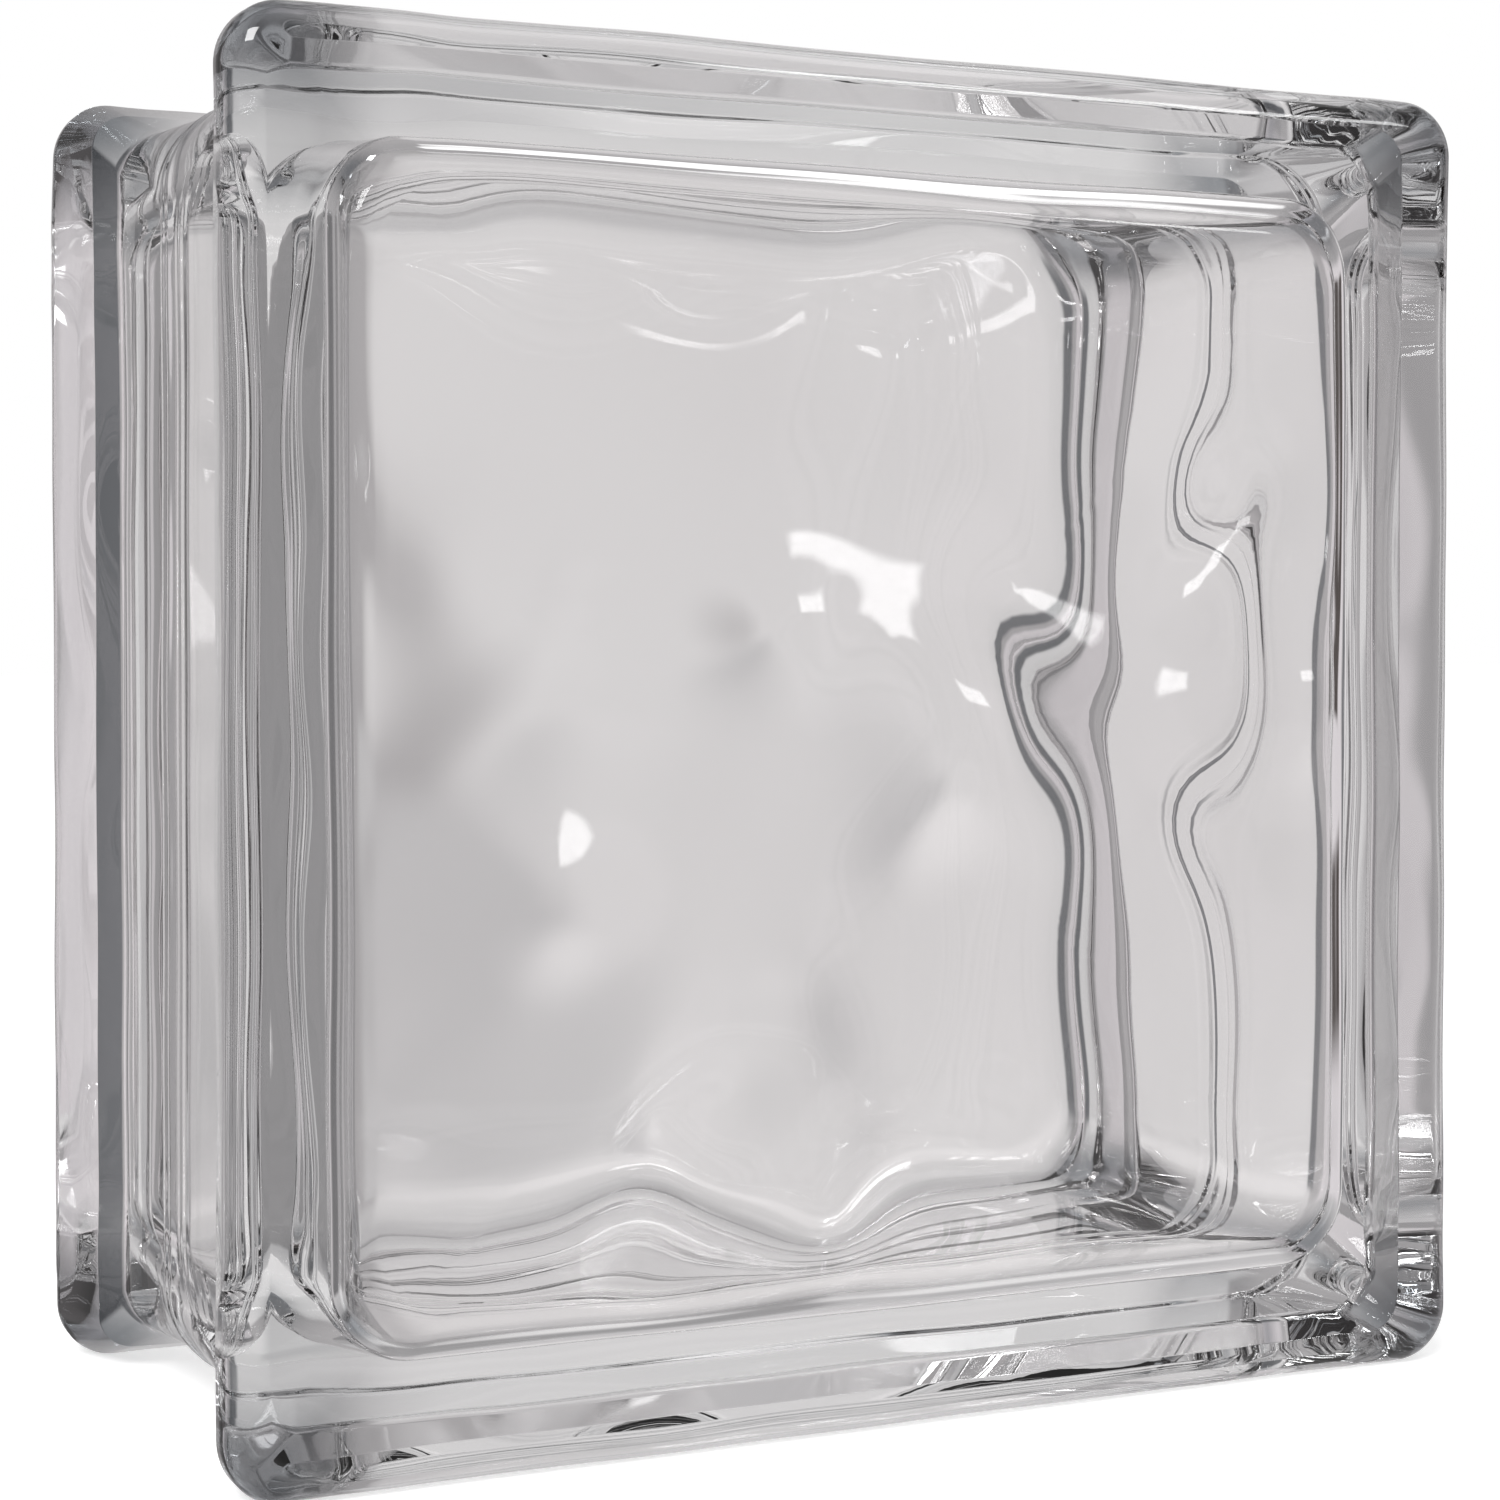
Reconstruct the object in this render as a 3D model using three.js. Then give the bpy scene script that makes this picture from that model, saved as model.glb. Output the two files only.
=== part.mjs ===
// Hollow glass block, 190 x 190 x 100 mm. Two pressed half shells meet at a seam round the middle of the
// edge and enclose an air cavity. Each half has a flat outer face, a tapered flange round it, a recessed neck
// that forms half of the mortar channel, and a wavy relief pressed into the inner side of its face plate.
// Both halves come from one mould: the rear one is the front one turned half a turn about the vertical.
// X runs along the width, Y through the depth and Z up. The block stands on its lower edge, with the origin
// in the middle of its base. All sizes are in millimetres.

import * as THREE from "three";
import { mergeVertices, toCreasedNormals } from "three/addons/utils/BufferGeometryUtils.js";

// Overall size
const WIDTH = 190;
const HEIGHT = 190;
const DEPTH = 100;

// Flange round each face
const FLANGE_THICKNESS = 18; // from the outer face to the shoulder
const FLANGE_CORNER = 8.5; // corner radius of the block's outline
const FLANGE_LAND = 2; // flat strip at the widest place, on which the block stands
const FLANGE_TAPER = 3.2; // how much the flange narrows from the land to the shoulder
const FACE_EDGE_RADIUS = 5; // rounding between the outer face and the land
const SHOULDER_EDGE_RADIUS = 1.2;

// Neck between the flanges, and the seam in its middle
const NECK_INSET = 6.3; // below the outline, at the foot of the shoulder
const NECK_CORNER = 7;
const NECK_FILLET = 6; // at the foot of the shoulder
const SHOULDER_RUN = 5.5; // the shoulder leans by this much over its height
const SEAM_INSET = 5.7; // the neck flares out slightly towards the seam
const SEAM_CORNER = 13;

// Bead where the halves are fused. It stands proud on both sides of the wall, with a groove along its middle.
const SEAM_BEAD_HEIGHT = 0.6;
const SEAM_BEAD_WIDTH = 9; // across both halves
const SEAM_GROOVE_DEPTH = 0.3;
const SEAM_GROOVE_WIDTH = 3;

// Cavity
const FACE_THICKNESS = 9; // mean thickness of the face plate
const SEAM_WALL = 6.8; // side wall thickness at the seam
const FLOOR_WALL = 9.2; // side wall thickness where the wall meets the face plate
const CAVITY_CORNER_AT_SEAM = 13;
const CAVITY_CORNER_AT_FLOOR = 11;
const CAVITY_FILLET = 6;

// Wavy relief on the inner side of the face plate: broad swells that run into one another. Each is given as
// [across, up, radius, height]. A positive height is a hollow in the plate, which grows thinner there.
const SWELLS = [
  [62, 35, 16, -3],
  [50, 22, 15, -2],
  [20, 20, 20, -2],
  [35, -10, 20, 2],
  [15, 5, 25, 3.5],
  [-15, 15, 15, 2],
  [70, 5, 20, 3.5],
  [60, -15, 15, -1],
  [55, -70, 35, 1],
  [-25, -50, 15, -1.5],
  [-10, -75, 15, 1.5],
  [-35, -70, 15, -1],
  [-55, 60, 35, -1.5],
  [15, 90, 25, 2.5],
  [-50, -20, 15, 2],
];

// Fineness of the mesh
const STRAIGHT_SEGMENTS = 20; // along each straight stretch of a ring
const HALF_CORNER_SEGMENTS = 3; // along each eighth of a turn at a corner
const ROUNDING_SEGMENTS = 4; // across each rounded edge or fillet of the section
const SMALL_ROUNDING_SEGMENTS = 2;
const BEAD_SEGMENTS = 4; // across each half of the seam's bead
const CREASE_ANGLE = THREE.MathUtils.degToRad(35); // edges sharper than this are drawn as edges

const SIDE_SEGMENTS = STRAIGHT_SEGMENTS + 2 * HALF_CORNER_SEGMENTS;
const RING_POINTS = 4 * SIDE_SEGMENTS;
const HALF_DEPTH = DEPTH / 2;

// A station is one ring of the swept section: its inset from the block's outline, its distance from the seam
// plane, its corner radius, and how much of the relief moves it.
const station = (inset, away, corner, relief = 0) => ({ inset, away, corner, relief });

function between(a, b, share) {
  return station(
    THREE.MathUtils.lerp(a.inset, b.inset, share),
    THREE.MathUtils.lerp(a.away, b.away, share),
    THREE.MathUtils.lerp(a.corner, b.corner, share),
    THREE.MathUtils.lerp(a.relief, b.relief, share),
  );
}

// Rounds the section at the middle one of three stations with an arc of the given radius.
function rounded(before, bend, after, radius, segments = ROUNDING_SEGMENTS) {
  const place = (s) => new THREE.Vector2(s.inset, s.away);
  const back = place(before).sub(place(bend));
  const on = place(after).sub(place(bend));
  const halfAngle = Math.acos(back.dot(on) / (back.length() * on.length())) / 2;
  const reach = Math.min(radius / Math.tan(halfAngle), back.length(), on.length());
  const start = between(bend, before, reach / back.length());
  const end = between(bend, after, reach / on.length());
  const toCentre = place(start).add(place(end)).multiplyScalar(0.5).sub(place(bend));
  const centre = toCentre.setLength(reach / Math.cos(halfAngle)).add(place(bend));
  const from = place(start).sub(centre);
  const turn = Math.PI - 2 * halfAngle;
  const sense = Math.sign(from.cross(place(end).sub(centre)));
  return Array.from({ length: segments + 1 }, (_, i) => {
    const share = i / segments;
    const spot = from.clone().rotateAround(new THREE.Vector2(), sense * turn * share).add(centre);
    const mixed = between(start, end, share);
    return station(spot.x, spot.y, mixed.corner, mixed.relief);
  });
}

// A smooth bump of height 1 over the given width.
function hump(distance, width) {
  return distance < width / 2 ? Math.cos((Math.PI * distance) / width) ** 2 : 0;
}

// Stations from the seam over half of its bead. Outwards is 1 on the block's outside and -1 in the cavity.
function seamBead(seam, wallEnd, outwards) {
  return Array.from({ length: BEAD_SEGMENTS + 1 }, (_, i) => {
    const away = (SEAM_BEAD_WIDTH / 2) * (i / BEAD_SEGMENTS);
    const bead = SEAM_BEAD_HEIGHT * hump(away, SEAM_BEAD_WIDTH);
    const groove = SEAM_GROOVE_DEPTH * hump(away, SEAM_GROOVE_WIDTH);
    const onWall = between(seam, wallEnd, away / wallEnd.away);
    return { ...onWall, inset: onWall.inset - (bead - groove) * outwards };
  });
}

// The section of a half shell, from the rim of the outer face round the edge and in to the cavity's floor.
function halfShellSection() {
  const flangeCorner = (inset) => Math.max(FLANGE_CORNER - inset, FACE_EDGE_RADIUS / 2);
  const onFlange = (inset, away) => station(inset, away, flangeCorner(inset));
  const shoulderAway = HALF_DEPTH - FLANGE_THICKNESS;
  const landStart = HALF_DEPTH - FACE_EDGE_RADIUS;
  const floorAway = HALF_DEPTH - FACE_THICKNESS;

  const face = onFlange(2 * FACE_EDGE_RADIUS, HALF_DEPTH);
  const faceEdge = onFlange(0, HALF_DEPTH);
  const landEnd = onFlange(0, landStart - FLANGE_LAND);
  const shoulderTop = onFlange(FLANGE_TAPER, shoulderAway);
  const shoulderFoot = station(NECK_INSET, shoulderAway - SHOULDER_RUN, NECK_CORNER);
  const seamOuter = station(SEAM_INSET, 0, SEAM_CORNER);
  const seamInner = station(SEAM_INSET + SEAM_WALL, 0, CAVITY_CORNER_AT_SEAM);
  const floorCorner = station(NECK_INSET + FLOOR_WALL, floorAway, CAVITY_CORNER_AT_FLOOR);
  const floorInner = station(floorCorner.inset + 2 * CAVITY_FILLET, floorAway, CAVITY_CORNER_AT_FLOOR);

  return [
    ...rounded(face, faceEdge, landEnd, FACE_EDGE_RADIUS),
    landEnd,
    ...rounded(landEnd, shoulderTop, shoulderFoot, SHOULDER_EDGE_RADIUS, SMALL_ROUNDING_SEGMENTS),
    ...rounded(shoulderTop, shoulderFoot, seamOuter, NECK_FILLET),
    ...seamBead(seamOuter, shoulderFoot, 1).reverse(),
    ...seamBead(seamInner, floorCorner, -1),
    ...rounded(seamInner, floorCorner, floorInner, CAVITY_FILLET).map((s, i) => ({
      ...s,
      relief: i / ROUNDING_SEGMENTS,
    })),
  ];
}

// A point of a rounded rectangle's outline. The outline has four sides, each reaching to the middle of its
// two corners, and step runs along a side from -1 to 1.
function outlinePoint(side, step, halfWidth, halfHeight, corner) {
  const alongHalf = side % 2 === 0 ? halfHeight : halfWidth;
  const outHalf = side % 2 === 0 ? halfWidth : halfHeight;
  const index = (Math.abs(step) * SIDE_SEGMENTS) / 2;
  const pastStraight = Math.max(index - STRAIGHT_SEGMENTS / 2, 0);
  const angle = (pastStraight / HALF_CORNER_SEGMENTS) * (Math.PI / 4);
  const straightShare = Math.min(index / (STRAIGHT_SEGMENTS / 2), 1);
  const along = Math.sign(step) * ((alongHalf - corner) * straightShare + corner * Math.sin(angle));
  const out = outHalf - corner * (1 - Math.cos(angle));
  return new THREE.Vector2(out, along).rotateAround(new THREE.Vector2(), (side * Math.PI) / 2);
}

function reliefHeight(x, z) {
  return SWELLS.reduce((sum, [across, up, radius, height]) => {
    const distance = Math.hypot(x - across, z - up) / radius;
    return sum + height * Math.exp(-2 * distance ** 2);
  }, 0);
}

// A vertex on the ring of a station, or on a ring inside it when scale is under 1.
function shellVertex(s, side, step, scale = 1) {
  const halfWidth = (WIDTH / 2 - s.inset) * scale;
  const halfHeight = (HEIGHT / 2 - s.inset) * scale;
  const flat = outlinePoint(side, step, halfWidth, halfHeight, s.corner * scale);
  const away = s.away + s.relief * reliefHeight(flat.x, flat.y);
  return new THREE.Vector3(flat.x, -away, flat.y);
}

// Joins two rings of vertices, given in the same order, with a strip of triangles.
function strip(triangles, outer, inner) {
  outer.forEach((a, i) => {
    const next = (i + 1) % outer.length;
    triangles.push(a, inner[i], inner[next], a, inner[next], outer[next]);
  });
}

// One half shell: the section swept round the block, a flat cap for the outer face and a grid for the floor.
function halfShellGeometry() {
  const section = halfShellSection();
  const ring = (s) =>
    Array.from({ length: RING_POINTS }, (_, i) => {
      const side = Math.floor(i / SIDE_SEGMENTS);
      return shellVertex(s, side, (2 * (i % SIDE_SEGMENTS)) / SIDE_SEGMENTS - 1);
    });
  const rings = section.map(ring);
  const triangles = [];
  rings.slice(1).forEach((inner, i) => strip(triangles, rings[i], inner));

  const faceCentre = new THREE.Vector3(0, -HALF_DEPTH, 0);
  rings[0].forEach((a, i) => triangles.push(faceCentre, a, rings[0][(i + 1) % RING_POINTS]));

  // The floor's grid: each cell corner lies on a ring that shrinks towards the middle of the floor.
  const floor = section[section.length - 1];
  const middle = SIDE_SEGMENTS / 2;
  const floorVertex = (i, k) => {
    const across = i - middle;
    const up = k - middle;
    const level = Math.max(Math.abs(across), Math.abs(up));
    if (level === 0) return shellVertex(floor, 0, 0, 0);
    const scale = level / middle;
    if (across === level) return shellVertex(floor, 0, up / level, scale);
    if (up === level) return shellVertex(floor, 1, -across / level, scale);
    if (across === -level) return shellVertex(floor, 2, -up / level, scale);
    return shellVertex(floor, 3, across / level, scale);
  };
  for (let i = 0; i < SIDE_SEGMENTS; i++)
    for (let k = 0; k < SIDE_SEGMENTS; k++) {
      const [a, b, c, d] = [[i, k], [i + 1, k], [i + 1, k + 1], [i, k + 1]].map((at) => floorVertex(...at));
      const towardsMiddle = (i < middle) === (k < middle);
      if (towardsMiddle) triangles.push(a, c, b, a, d, c);
      else triangles.push(a, d, b, b, d, c);
    }

  const geometry = new THREE.BufferGeometry().setFromPoints(triangles);
  return toCreasedNormals(mergeVertices(geometry), CREASE_ANGLE);
}

function halfShell(name) {
  const glass = new THREE.MeshStandardMaterial({
    color: 0xdfe3e2,
    roughness: 0.05,
    metalness: 0,
    transparent: true,
    opacity: 0.35,
  });
  const mesh = new THREE.Mesh(halfShellGeometry(), glass);
  mesh.name = name;
  mesh.position.z = HEIGHT / 2;
  return mesh;
}

const front = halfShell("front_half_shell");
const rear = halfShell("rear_half_shell");
rear.rotation.z = Math.PI;

const group = new THREE.Group();
group.add(front, rear);

export default group;
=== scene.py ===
"""A hollow glass block, 190 x 190 x 100 mm, on a pale studio floor. Z is up, and its faces look along Y.

Sizes are in mm unless a comment says otherwise. The block's own points are in mm round its centre until they
become a mesh, which is in metres, as Blender is.
"""

import math

import bmesh
import bpy
import numpy as np
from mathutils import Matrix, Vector, noise


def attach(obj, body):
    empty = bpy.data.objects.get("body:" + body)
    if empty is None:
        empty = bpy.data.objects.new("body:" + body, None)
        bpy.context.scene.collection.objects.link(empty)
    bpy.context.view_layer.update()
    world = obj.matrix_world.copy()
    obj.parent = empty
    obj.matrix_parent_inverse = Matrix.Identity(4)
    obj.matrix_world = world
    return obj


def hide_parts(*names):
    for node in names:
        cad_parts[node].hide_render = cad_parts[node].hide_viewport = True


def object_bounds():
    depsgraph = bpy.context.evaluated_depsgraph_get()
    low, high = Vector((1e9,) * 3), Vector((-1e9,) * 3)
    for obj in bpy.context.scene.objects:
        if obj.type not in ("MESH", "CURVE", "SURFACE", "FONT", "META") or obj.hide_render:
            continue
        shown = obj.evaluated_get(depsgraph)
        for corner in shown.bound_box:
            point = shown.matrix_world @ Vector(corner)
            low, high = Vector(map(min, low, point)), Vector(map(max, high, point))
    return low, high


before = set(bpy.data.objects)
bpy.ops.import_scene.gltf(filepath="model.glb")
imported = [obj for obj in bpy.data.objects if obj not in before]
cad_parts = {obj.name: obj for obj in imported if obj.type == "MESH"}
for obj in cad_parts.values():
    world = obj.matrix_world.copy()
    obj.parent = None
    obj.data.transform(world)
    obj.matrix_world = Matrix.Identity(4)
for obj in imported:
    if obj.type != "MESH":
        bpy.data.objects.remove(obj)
cad_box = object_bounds()

MM = 0.001
LOW, HIGH = cad_box
CENTRE = (LOW + HIGH) / 2
HALF_WIDTH, HALF_DEPTH, HALF_HEIGHT = (HIGH - LOW) / 2 / MM

# Section of the block's edge: insets from the outline, and distances "away" from the seam plane
FLANGE_THICKNESS = 18
FLANGE_CORNER = 8.5
FLANGE_LAND = 2
FLANGE_TAPER = 3.2
FACE_EDGE_RADIUS = 5
SHOULDER_EDGE_RADIUS = 1.2
SMALLEST_FLANGE_CORNER = FACE_EDGE_RADIUS / 2
NECK_INSET = 6.3
NECK_CORNER = 7
NECK_FILLET = 6
SHOULDER_RUN = 5.5
SEAM_INSET = 5.7
SEAM_CORNER = 13
FACE_THICKNESS = 9
SEAM_WALL = 6.8
FLOOR_WALL = 9.2
CAVITY_CORNER_AT_SEAM = 13
CAVITY_CORNER_AT_FLOOR = 11
CAVITY_FILLET = 6

# The fused seam stands proud on both sides of the wall, with a groove along its middle.
SEAM_BEAD_HEIGHT = 0.6
SEAM_BEAD_WIDTH = 9
SEAM_GROOVE_DEPTH = 0.3
SEAM_GROOVE_WIDTH = 3

# Relief pressed into the cavity side of both face plates, as (across, up, radius, height) of each swell.
# Where its height is positive, the plate is hollow and grows thinner. At its radius a swell is down to
# exp(-SWELL_FALL) of its height.
SWELL_FALL = 2
SWELLS = [
    (62, 35, 16, -3),
    (50, 22, 15, -2),
    (20, 20, 20, -2),
    (35, -10, 20, 2),
    (15, 5, 25, 3.5),
    (-15, 15, 15, 2),
    (70, 5, 20, 3.5),
    (60, -15, 15, -1),
    (55, -70, 35, 1),
    (-25, -50, 15, -1.5),
    (-10, -75, 15, 1.5),
    (-35, -70, 15, -1),
    (-55, 60, 35, -1.5),
    (15, 90, 25, 2.5),
    (-50, -20, 15, 2),
]

# Waves that the mould leaves in the glass's skin, as (size across, height, only at the corners). Those of the
# corners start this far from the block's middle, both across and up, and are at their highest at its edge.
SKIN_WAVES = [(25, 0.3, False), (9, 0.4, True)]
CORNER_WAVES_FROM = 55

# Glass: faint clouds in it, the deeper tint that its thick flange shows, and painted shade that darkens its
# corners, partly as the tint of the thick glass there. A tint or shade grows from nothing at its first
# distance to its full colour at its second. The flange's goes by the distance from the block's middle, across
# or up, and by that from the seam plane. The corners' painted shade goes by the distance both across and up.
GLASS_IOR = 1.52
CLOUD_SIZE = 55
CLOUD_DETAIL = 1
CLOUD_COLOURS = (0.90, 0.89, 0.893), (0.98, 0.98, 0.98)
FLANGE_TINT = (0.76, 0.768, 0.772)
FLANGE_TINT_REACH = 74, 86
FLANGE_TINT_DEPTH = 26, 38
# Painted shade: a near black colour that darkens the corners, only partly the tint of the thick glass there
CORNER_PAINTED_SHADE = (0.12, 0.135, 0.15)
CORNER_PAINTED_SHADE_REACH = 72, 90

# Fineness of the mesh, and the distance at which two of its points count as one
STRAIGHT_SEGMENTS = 64
HALF_CORNER_SEGMENTS = 8
ROUNDING_SEGMENTS = 8
WALL_SEGMENTS = 8
BEAD_SEGMENTS = 10
SIDE_SEGMENTS = STRAIGHT_SEGMENTS + 2 * HALF_CORNER_SEGMENTS
SAME_POINT = 0.001

# Numbers of a Mix node's sockets: its share, its two colours and its resulting colour
MIX_SHARE = 0
MIX_COLOURS = 6, 7
MIX_RESULT = 2


def station(inset, away, corner, relief=0.0):
    """One ring of the swept section: inset, distance from the seam plane, corner radius, share of relief."""
    return np.array([inset, away, corner, relief], float)


def between(a, b, share):
    """What lies that share of the way from a to b."""
    return a + (b - a) * share


def rounded(before, bend, after, radius):
    """The bend in the section at the middle one of three stations, as an arc."""
    back, on = (before - bend)[:2], (after - bend)[:2]
    back_length, on_length = np.linalg.norm(back), np.linalg.norm(on)
    half_angle = math.acos(back @ on / (back_length * on_length)) / 2
    reach = min(radius / math.tan(half_angle), back_length, on_length)
    start = between(bend, before, reach / back_length)
    end = between(bend, after, reach / on_length)
    to_centre = ((start + end) / 2 - bend)[:2]
    centre = bend[:2] + to_centre / np.linalg.norm(to_centre) * reach / math.cos(half_angle)
    arm, chord = start[:2] - centre, (end - start)[:2]
    turn = (math.pi - 2 * half_angle) * np.sign(arm[0] * chord[1] - arm[1] * chord[0])
    stations = []
    for share in np.linspace(0, 1, ROUNDING_SEGMENTS + 1):
        cos, sin = math.cos(turn * share), math.sin(turn * share)
        spot = centre + (arm[0] * cos - arm[1] * sin, arm[0] * sin + arm[1] * cos)
        stations.append(np.array([*spot, *between(start, end, share)[2:]]))
    return stations


def hump(distance, width):
    """A smooth bump of height 1 over the given width."""
    return math.cos(math.pi * distance / width) ** 2 if abs(distance) < width / 2 else 0.0


def seam_bead(seam, wall_end, outwards):
    """Stations over the half of the seam's bead that lies between the seam and the end of the wall."""
    stations = []
    for i in range(BEAD_SEGMENTS + 1):
        away = SEAM_BEAD_WIDTH / 2 * i / BEAD_SEGMENTS
        bead = SEAM_BEAD_HEIGHT * hump(away, SEAM_BEAD_WIDTH)
        groove = SEAM_GROOVE_DEPTH * hump(away, SEAM_GROOVE_WIDTH)
        a_station = between(seam, wall_end, away / wall_end[1])
        a_station[0] -= (bead - groove) * outwards
        stations.append(a_station)
    return stations


def outer_section():
    """Stations from the flat outer face, round its edge and down the flange and neck, to the seam."""
    def on_flange(inset, away):
        return station(inset, away, max(FLANGE_CORNER - inset, SMALLEST_FLANGE_CORNER))

    shoulder_away = HALF_DEPTH - FLANGE_THICKNESS
    face = on_flange(2 * FACE_EDGE_RADIUS, HALF_DEPTH)
    face_edge = on_flange(0, HALF_DEPTH)
    land_end = on_flange(0, HALF_DEPTH - FACE_EDGE_RADIUS - FLANGE_LAND)
    shoulder_top = on_flange(FLANGE_TAPER, shoulder_away)
    shoulder_foot = station(NECK_INSET, shoulder_away - SHOULDER_RUN, NECK_CORNER)
    seam = station(SEAM_INSET, 0, SEAM_CORNER)
    return [
        face,
        *rounded(face, face_edge, land_end, FACE_EDGE_RADIUS),
        land_end,
        *rounded(land_end, shoulder_top, shoulder_foot, SHOULDER_EDGE_RADIUS),
        *rounded(shoulder_top, shoulder_foot, seam, NECK_FILLET),
        *seam_bead(seam, shoulder_foot, 1)[::-1],
    ]


def cavity_section():
    """Stations from the rim of the cavity's floor, along its wall, to the seam."""
    seam = station(SEAM_INSET + SEAM_WALL, 0, CAVITY_CORNER_AT_SEAM)
    floor_corner = station(NECK_INSET + FLOOR_WALL, HALF_DEPTH - FACE_THICKNESS, CAVITY_CORNER_AT_FLOOR)
    floor_rim = floor_corner + station(2 * CAVITY_FILLET, 0, 0)
    bend = rounded(floor_rim, floor_corner, seam, CAVITY_FILLET)
    for share, a_station in zip(np.linspace(1, 0, len(bend)), bend):
        a_station[3] = share
    bead = seam_bead(seam, floor_corner, -1)[::-1]
    wall = [between(bend[-1], bead[0], i / WALL_SEGMENTS) for i in range(1, WALL_SEGMENTS)]
    return bend + wall + bead


def outline(side, step, half_width, half_height, corner):
    """Points on one of the four sides of a rounded rectangle.

    A side runs between the middles of two corners, as step goes from -1 to 1.
    """
    along_half, out_half = (half_height, half_width) if side % 2 == 0 else (half_width, half_height)
    index = np.abs(step) * SIDE_SEGMENTS / 2
    angle = np.maximum(index - STRAIGHT_SEGMENTS / 2, 0) / HALF_CORNER_SEGMENTS * math.pi / 4
    straight_share = np.minimum(index / (STRAIGHT_SEGMENTS / 2), 1)
    along = np.sign(step) * ((along_half - corner) * straight_share + corner * np.sin(angle))
    out = out_half - corner * (1 - np.cos(angle))
    cos, sin = ((1, 0), (0, 1), (-1, 0), (0, -1))[side]
    return np.stack([out * cos - along * sin, out * sin + along * cos], axis=-1)


def relief_height(x, z):
    """How far the relief moves the cavity's floor towards the outer face."""
    total = np.zeros_like(x)
    for across, up, radius, height in SWELLS:
        distance = np.hypot(x - across, z - up) / radius
        total += height * np.exp(-SWELL_FALL * distance**2)
    return total


def skin_height(place):
    """How far the waves raise the glass's skin at a place."""
    to_corner = (min(abs(place.x), abs(place.z)) - CORNER_WAVES_FROM) / (HALF_WIDTH - CORNER_WAVES_FROM)
    total = 0
    for size, height, at_corners in SKIN_WAVES:
        share = max(to_corner, 0) if at_corners else 1
        total += height * noise.noise(place / size) * share
    return total


class Surface:
    """Points and four-sided faces, round the block's centre, with Y from the front face to the rear one."""

    def __init__(self):
        self.points, self.faces, self.count = [], [], 0

    def add(self, flat, a_station, side):
        """Points over a flat outline. Side is -1 on the front half and 1 on the rear one, which is turned."""
        x, z = flat[..., 0], flat[..., 1]
        away = a_station[1] + a_station[3] * relief_height(-side * x, z)
        points = np.stack([x, side * away, z], axis=-1)
        numbers = np.arange(self.count, self.count + x.size).reshape(x.shape)
        self.count += x.size
        self.points.append(points.reshape(-1, 3))
        return numbers

    def quads(self, a, b, c, d, flipped):
        """Faces between four equal arrays of point numbers, one array for each corner of a face."""
        corners = (d, c, b, a) if flipped else (a, b, c, d)
        self.faces += np.stack(corners, axis=-1).reshape(-1, 4).tolist()

    def ring(self, a_station, side):
        """Points of a station, once round the block."""
        inset, _, corner, _ = a_station
        step = np.arange(SIDE_SEGMENTS) * 2 / SIDE_SEGMENTS - 1
        sides = [outline(i, step, HALF_WIDTH - inset, HALF_HEIGHT - inset, corner) for i in range(4)]
        return self.add(np.concatenate(sides), a_station, side)

    def tube(self, section, inwards):
        """Rings through the front half, the seam and the rear half, for a section that ends at the seam."""
        rings = [self.ring(s, -1) for s in section] + [self.ring(s, 1) for s in section[-2::-1]]
        for near, far in zip(rings, rings[1:]):
            self.quads(near, far, np.roll(far, -1), np.roll(near, -1), inwards)

    def plate(self, a_station, side, inwards):
        """An outer face or a cavity's floor: square rings of points that shrink to its middle."""
        inset, _, corner, _ = a_station
        middle = SIDE_SEGMENTS // 2
        spots = np.arange(SIDE_SEGMENTS + 1) - middle
        across, up = np.meshgrid(spots, spots, indexing="ij")
        level = np.maximum(np.abs(across), np.abs(up))
        scale, divisor = level / middle, np.maximum(level, 1)
        flat = np.zeros((*level.shape, 2))
        sides = (across == level, up), (up == level, -across), (-across == level, -up), (-up == level, across)
        for i, (chosen, along) in enumerate(sides):
            size = (HALF_WIDTH - inset) * scale, (HALF_HEIGHT - inset) * scale
            flat[chosen] = outline(i, along / divisor, *size, corner * scale)[chosen]
        grid = self.add(flat, a_station, side)
        self.quads(grid[:-1, :-1], grid[:-1, 1:], grid[1:, 1:], grid[1:, :-1], (side > 0) == inwards)

    def to_object(self, name):
        """A smooth object of the surface, closed where its parts meet, with the waves of its skin."""
        mesh = bpy.data.meshes.new(name)
        mesh.from_pydata(np.concatenate(self.points).tolist(), [], self.faces)
        form = bmesh.new()
        form.from_mesh(mesh)
        bmesh.ops.remove_doubles(form, verts=form.verts, dist=SAME_POINT)
        form.normal_update()
        places = [vertex.co + vertex.normal * skin_height(vertex.co) for vertex in form.verts]
        for vertex, place in zip(form.verts, places):
            vertex.co = place * MM + CENTRE
        form.to_mesh(mesh)
        form.free()
        mesh.shade_smooth()
        made = bpy.data.objects.new(name, mesh)
        bpy.context.scene.collection.objects.link(made)
        return made


def glass_block(material):
    """The block as one object: its closed outer skin, and the closed skin of its cavity."""
    surface = Surface()
    for section, inwards in ((outer_section(), False), (cavity_section(), True)):
        surface.tube(section, inwards)
        for side in (-1, 1):
            surface.plate(section[0], side, inwards)
    block = surface.to_object("glass_block")
    block.data.materials.append(material)
    block.modifiers.new("face_normals", "WEIGHTED_NORMAL")
    return block


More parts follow.
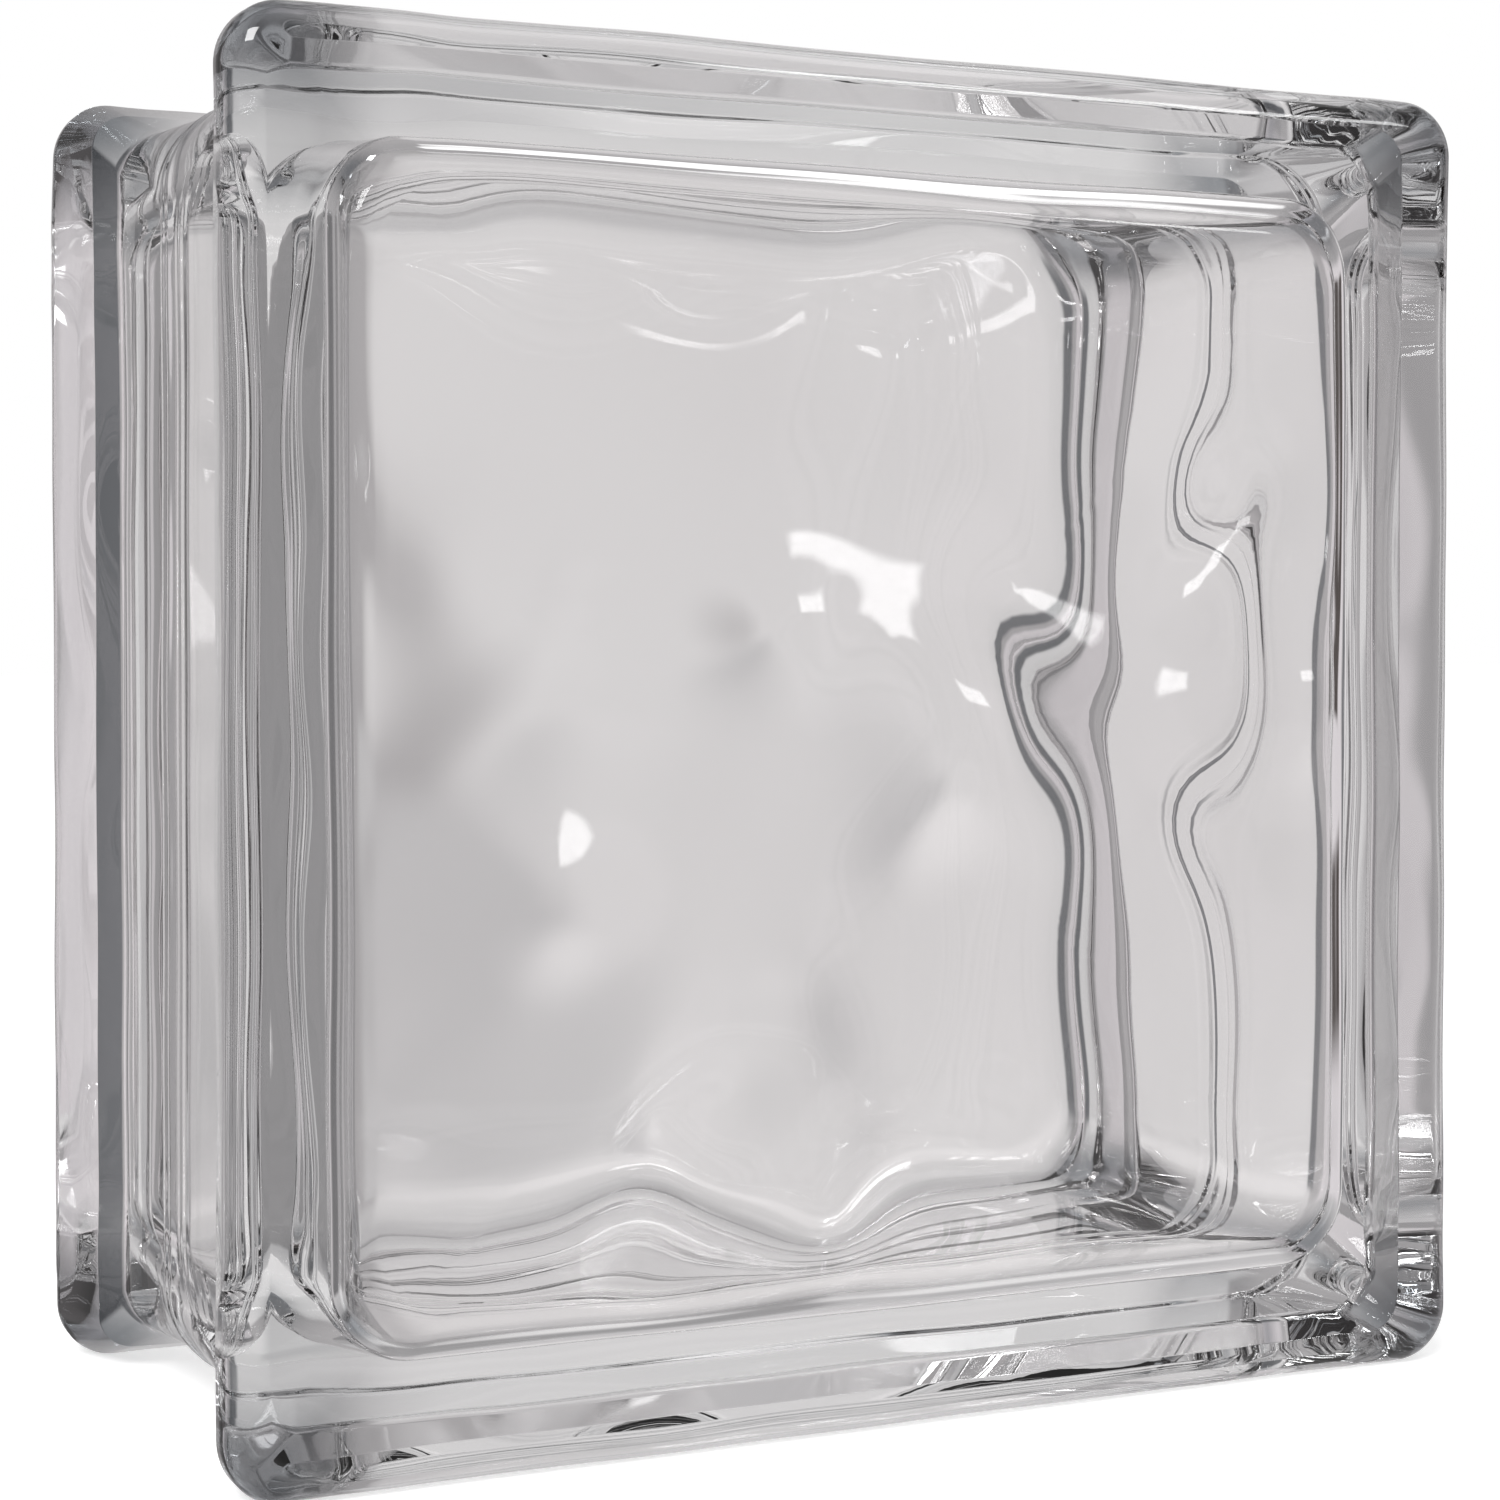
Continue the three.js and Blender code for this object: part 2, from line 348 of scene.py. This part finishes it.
class Nodes:
    """A node tree with a short way to add a node and join it up."""

    def __init__(self, owner):
        owner.use_nodes = True
        self.tree = owner.node_tree
        self.tree.nodes.clear()

    def add(self, kind, inputs=(), **settings):
        """A new node; inputs are pairs of an input's name or number, and a value or another node's output."""
        node = self.tree.nodes.new("ShaderNode" + kind)
        for name, value in settings.items():
            setattr(node, name, value)
        for name, value in inputs:
            if isinstance(value, bpy.types.NodeSocket):
                self.tree.links.new(value, node.inputs[name])
            else:
                node.inputs[name].default_value = value
        return node

    def math(self, operation, *values):
        """The result of a Math node."""
        return self.add("Math", enumerate(values), operation=operation).outputs[0]

    def ramp(self, value, low, high):
        """From 0 where a value in metres is the low distance in mm, softly up to 1 at the high one."""
        edges = [("Value", value), ("From Min", low * MM), ("From Max", high * MM)]
        return self.add("MapRange", edges, interpolation_type="SMOOTHSTEP").outputs[0]

    def mix(self, share, *colours):
        """From the first to the second colour, each given as red, green and blue or as a node's output."""
        inputs = [(MIX_SHARE, share)]
        for socket, colour in zip(MIX_COLOURS, colours):
            linked = isinstance(colour, bpy.types.NodeSocket)
            inputs.append((socket, colour if linked else (*colour, 1)))
        return self.add("Mix", inputs, data_type="RGBA").outputs[MIX_RESULT]


def clear_glass():
    """Pressed glass: clear, with faint clouds in it, a deeper tint in the flange, and painted shade darkening
    the corners.
    """
    material = bpy.data.materials.new("clear_glass")
    nodes = Nodes(material)
    place = nodes.add("TexCoord").outputs["Object"]
    pattern = [("Vector", place), ("Scale", 1 / (CLOUD_SIZE * MM)), ("Detail", CLOUD_DETAIL)]
    clouds = nodes.add("TexNoise", pattern).outputs[0]
    from_middle = nodes.add("VectorMath", [(0, place), (1, CENTRE)], operation="SUBTRACT").outputs[0]
    distances = nodes.add("VectorMath", [(0, from_middle)], operation="ABSOLUTE").outputs[0]
    across, away, up = nodes.add("SeparateXYZ", [(0, distances)]).outputs
    reach = nodes.ramp(nodes.math("MAXIMUM", across, up), *FLANGE_TINT_REACH)
    flange = nodes.math("MULTIPLY", reach, nodes.ramp(away, *FLANGE_TINT_DEPTH))
    # Painted shade: the corners are darkened towards near black, only partly as the tint of thick glass
    corner = nodes.ramp(nodes.math("MINIMUM", across, up), *CORNER_PAINTED_SHADE_REACH)
    colour = nodes.mix(clouds, *CLOUD_COLOURS)
    colour = nodes.mix(corner, nodes.mix(flange, colour, FLANGE_TINT), CORNER_PAINTED_SHADE)
    glass = [("Base Color", colour), ("Roughness", 0.0), ("IOR", GLASS_IOR), ("Transmission Weight", 1.0)]
    nodes.add("OutputMaterial", [("Surface", nodes.add("BsdfPrincipled", glass).outputs[0])])
    return material


# Pale floor, reaching this many metres each way. Its glow is for the camera only, and makes it read as white.
# The even light is what the floor gets from the world.
FLOOR_COLOUR = (0.85, 0.85, 0.85)
FLOOR_GLOW = 0.6
FLOOR_REACH = 6
EVEN_LIGHT = 0.5

# The room and its cards, which only the glass shows. A card is its colour as light, then its place in
# degrees: turn from +Y towards +X, rise above the horizon, half width, half height, and the softness of its
# sides and of its ends. Later cards cover earlier ones.
ROOM_COLOUR = (0.46, 0.445, 0.45)
CARDS = [
    ((0.64, 0.625, 0.63), 0, -90, 180, 66, 1, 14),  # floor
    ((0.4, 0.39, 0.395), 0, -90, 180, 29, 1, 12),  # under
    ((0.97, 0.95, 0.95), -166, -41, 78, 17, 18, 16),  # floor in front
    ((0.79, 0.775, 0.775), 36, 3, 19, 42, 8, 26),  # behind
    ((0.61, 0.6, 0.605), 15, -12, 9, 8, 8, 8),  # low behind left
    ((0.92, 0.9, 0.9), 32, -17, 12, 5, 10, 6),  # low behind
    ((0.68, 0.665, 0.67), 34, 42, 16, 12, 10, 12),  # high behind
    ((0.34, 0.33, 0.335), -20, -8, 12, 55, 6, 20),  # behind left
    ((0.7, 0.665, 0.68), -38, 0, 5, 25, 4, 8),  # pale left
    ((0.19, 0.185, 0.19), -64, -6, 14, 22, 10, 10),  # far left
    ((0.15, 0.155, 0.165), 55, 2, 6, 17, 5, 10),  # dark side
    ((0.81, 0.765, 0.785), 107, 0, 39, 27, 6, 8),  # pale side
    ((0.06, 0.048, 0.042), 100, 5, 13, 13, 8, 6),  # brown side
    ((9, 9, 9), 146, 19.5, 7, 4, 3, 3),  # key
    ((1.5, 1.48, 1.48), 98, 60, 36, 10, 8, 8),  # top
]

# Soft lamp, which lights the floor and casts the block's shadow: place and size in metres, power in watts
KEY_PLACE = (-1.2, -1.4, 1.6)
KEY_SIZE = (0.8, 0.8)
KEY_POWER = 30

# Camera, from the photograph's perspective: place round the block's centre, angles in degrees
CAMERA_PLACE = (-201, -418.7, 16.6)
CAMERA_YAW = 25.7
CAMERA_PITCH = -1.12
CAMERA_SENSOR = 36
CAMERA_LENS = 73.35
CAMERA_SHIFT_Y = -0.045
CAMERA_NEAREST = 10

# How often light may be bent or thrown back on its way through the block
GLASS_BOUNCES = 10


def add_camera():
    camera = bpy.data.objects.new("camera", bpy.data.cameras.new("camera"))
    bpy.context.scene.collection.objects.link(camera)
    camera.data.sensor_width = CAMERA_SENSOR
    camera.data.lens = CAMERA_LENS
    camera.data.shift_y = CAMERA_SHIFT_Y
    camera.data.clip_start = CAMERA_NEAREST * MM
    camera.location = CENTRE + Vector(CAMERA_PLACE) * MM
    camera.rotation_euler = (math.radians(90 + CAMERA_PITCH), 0, math.radians(-CAMERA_YAW))
    bpy.context.scene.camera = camera


def floor_material():
    """A pale floor that keeps the block's shadow and reads as white."""
    material = bpy.data.materials.new("studio_floor")
    nodes = Nodes(material)
    diffuse = nodes.add("BsdfDiffuse", [("Color", (*FLOOR_COLOUR, 1))]).outputs[0]
    glow_strength = nodes.math("MULTIPLY", nodes.add("LightPath").outputs["Is Camera Ray"], FLOOR_GLOW)
    glow = nodes.add("Emission", [("Strength", glow_strength)]).outputs[0]
    nodes.add("OutputMaterial", [("Surface", nodes.add("AddShader", enumerate((diffuse, glow))).outputs[0])])
    return material


def add_floor():
    """The floor under the block. The glass shows the room's own lower half in its place."""
    mesh = bpy.data.meshes.new("studio_floor")
    corners = [(x * FLOOR_REACH, y * FLOOR_REACH, 0) for x, y in ((-1, -1), (1, -1), (1, 1), (-1, 1))]
    mesh.from_pydata(corners, [], [(0, 1, 2, 3)])
    mesh.materials.append(floor_material())
    floor = bpy.data.objects.new("studio_floor", mesh)
    bpy.context.scene.collection.objects.link(floor)
    floor.visible_glossy = False
    floor.visible_transmission = False


def soft_card(nodes, turned, raised, turn, rise, half_width, half_height, soft_sides, soft_ends):
    """How much of a soft-edged card a direction meets, from 0 to 1. Its place and size are in degrees."""
    across = nodes.math("PINGPONG", nodes.math("SUBTRACT", turned, math.radians(turn)), math.pi)
    up = nodes.math("ABSOLUTE", nodes.math("SUBTRACT", raised, math.radians(rise)))
    shares = []
    for distance, half, softness in ((across, half_width, soft_sides), (up, half_height, soft_ends)):
        inner, outer = math.radians(half - softness / 2), math.radians(half + softness / 2)
        edges = [("From Min", inner), ("From Max", outer), ("To Min", 1.0), ("To Max", 0.0)]
        share = nodes.add("MapRange", [("Value", distance), *edges], interpolation_type="SMOOTHSTEP")
        shares.append(share.outputs[0])
    return nodes.math("MULTIPLY", *shares)


def add_world():
    """White to the camera, even light for the floor, and softly lit cards in a pale room for the glass."""
    world = bpy.data.worlds.new("studio")
    bpy.context.scene.world = world
    world.cycles.sampling_method = "NONE"
    nodes = Nodes(world)
    direction = nodes.add("SeparateXYZ", [(0, nodes.add("TexCoord").outputs["Generated"])]).outputs
    turned = nodes.math("ARCTAN2", direction["X"], direction["Y"])
    raised = nodes.math("ARCSINE", direction["Z"])
    colour = ROOM_COLOUR
    for card_colour, *place in CARDS:
        colour = nodes.mix(soft_card(nodes, turned, raised, *place), colour, card_colour)
    path = nodes.add("LightPath").outputs
    through_glass = nodes.math("MAXIMUM", path["Is Glossy Ray"], path["Is Transmission Ray"])
    strengths = [("Value", path["Is Camera Ray"]), ("To Min", EVEN_LIGHT)]
    even_strength = nodes.add("MapRange", strengths).outputs[0]
    even = nodes.add("Background", [("Color", (1, 1, 1, 1)), ("Strength", even_strength)]).outputs[0]
    studio = nodes.add("Background", [("Color", colour)]).outputs[0]
    surface = nodes.add("MixShader", enumerate((through_glass, even, studio))).outputs[0]
    nodes.add("OutputWorld", [("Surface", surface)])


def add_key_lamp():
    """A soft lamp that looks at the block's centre."""
    lamp = bpy.data.lights.new("key", "AREA")
    lamp.shape = "RECTANGLE"
    lamp.size, lamp.size_y = KEY_SIZE
    lamp.energy = KEY_POWER
    key = bpy.data.objects.new("key", lamp)
    bpy.context.scene.collection.objects.link(key)
    key.location = KEY_PLACE
    key.rotation_euler = (CENTRE - Vector(KEY_PLACE)).to_track_quat("-Z", "Y").to_euler()


block = glass_block(clear_glass())
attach(block, "root")
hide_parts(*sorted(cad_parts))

add_camera()
add_floor()
add_world()
add_key_lamp()

cycles = bpy.context.scene.cycles
cycles.max_bounces = GLASS_BOUNCES
cycles.transmission_bounces = GLASS_BOUNCES
cycles.glossy_bounces = GLASS_BOUNCES
bpy.context.scene.view_settings.view_transform = "Standard"
